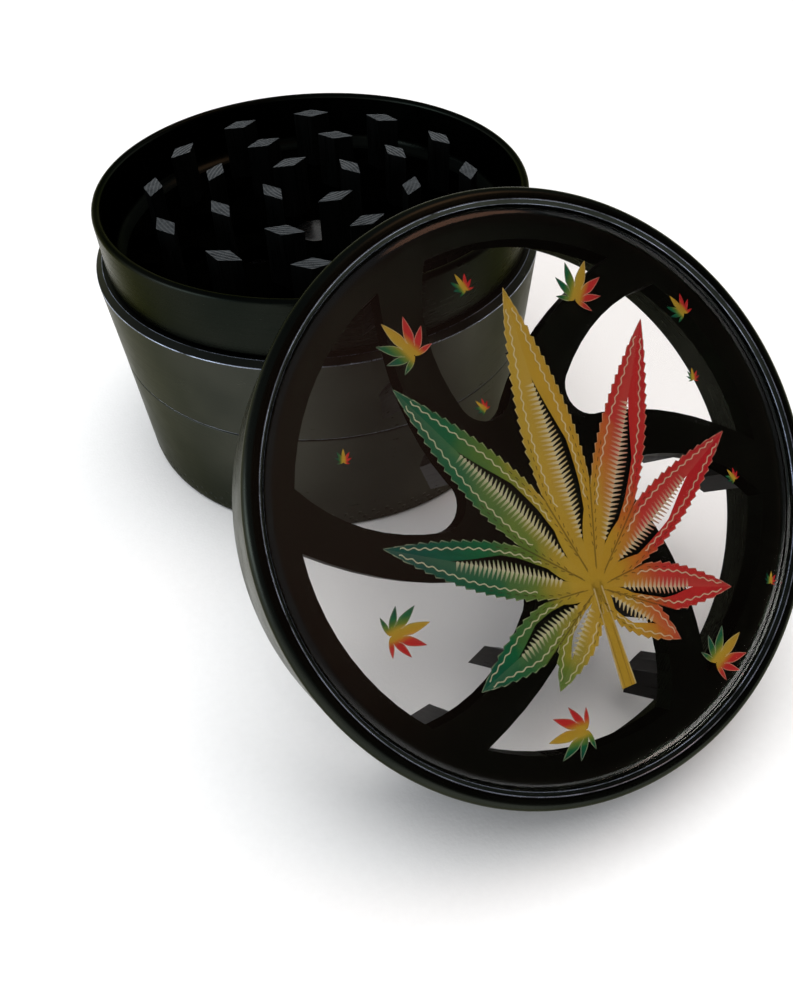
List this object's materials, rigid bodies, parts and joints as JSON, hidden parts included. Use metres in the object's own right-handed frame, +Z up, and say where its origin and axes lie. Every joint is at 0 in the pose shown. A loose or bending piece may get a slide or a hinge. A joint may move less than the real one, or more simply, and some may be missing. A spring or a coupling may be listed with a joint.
{
  "type": "herb grinder",
  "caption": "Four-part round metal herb grinder, opened: screwed body with a toothed chamber, and a clear-topped toothed lid leaning on its rim.",
  "frame": {"origin": "middle of the flat underside of the base", "axes": "+Z up along the body's axis; the opened lid leans on the body on its -Y side; +X to the right when the lid faces you"},
  "size_m": [0.0642, 0.1141, 0.0517],
  "materials": {
    "black_anodised": "satin black anodised",
    "black_inside": "glossy black anodised",
    "tooth_metal": "black anodised with faced grey tops",
    "screen_mesh": "fine woven stainless",
    "magnet": "bright nickel",
    "clear_acrylic": "clear gloss",
    "nylon": "matt translucent white",
    "leaf_ink": "printed green, yellow and red",
    "small_leaf_ink": "printed green, yellow and red"
  },
  "bodies": {
    "base": {"base_cup": "black_anodised"},
    "collector_core": {"mesh_screen": "screen_mesh", "screen_ring": "screen_mesh"},
    "collector": {"collector_shell": "black_anodised"},
    "chamber_core": {"chamber_magnet": "magnet"},
    "chamber": {"chamber_wall": "black_anodised", "chamber_floor": "black_inside", "chamber_teeth": "tooth_metal"},
    "lid_core": {"lid_magnet": "magnet"},
    "lid": {"lid_ring": "black_anodised", "lid_plate": "black_inside", "lid_teeth": "tooth_metal", "lid_post": "black_inside", "lid_cover": "clear_acrylic", "friction_ring": "nylon", "leaf_print": "leaf_ink", "small_leaf_prints": "small_leaf_ink"}
  },
  "joints": [
    {"name": "collector_lift", "type": "slide", "parent": "base", "child": "collector_core", "axis": [0, 0, 1], "range_m": [0, 0.03]},
    {"name": "collector_turn", "type": "hinge", "parent": "collector_core", "child": "collector", "pos_m": [0, 0, 0.0155], "axis": [0, 0, 1], "range_deg": [0, 900]},
    {"name": "chamber_lift", "type": "slide", "parent": "collector_core", "child": "chamber_core", "axis": [0, 0, 1], "range_m": [0, 0.03]},
    {"name": "chamber_turn", "type": "hinge", "parent": "chamber_core", "child": "chamber", "pos_m": [0, 0, 0.0288], "axis": [0, 0, 1], "range_deg": [0, 900]},
    {"name": "lid_lift", "type": "slide", "parent": "chamber_core", "child": "lid_core", "axis": [0, -0.6678, 0.7443], "range_m": [0, 0.05]},
    {"name": "lid_turn", "type": "hinge", "parent": "lid_core", "child": "lid", "pos_m": [0, -0.0592, 0.03066], "axis": [0, -0.6678, 0.7443], "continuous": true}
  ]
}
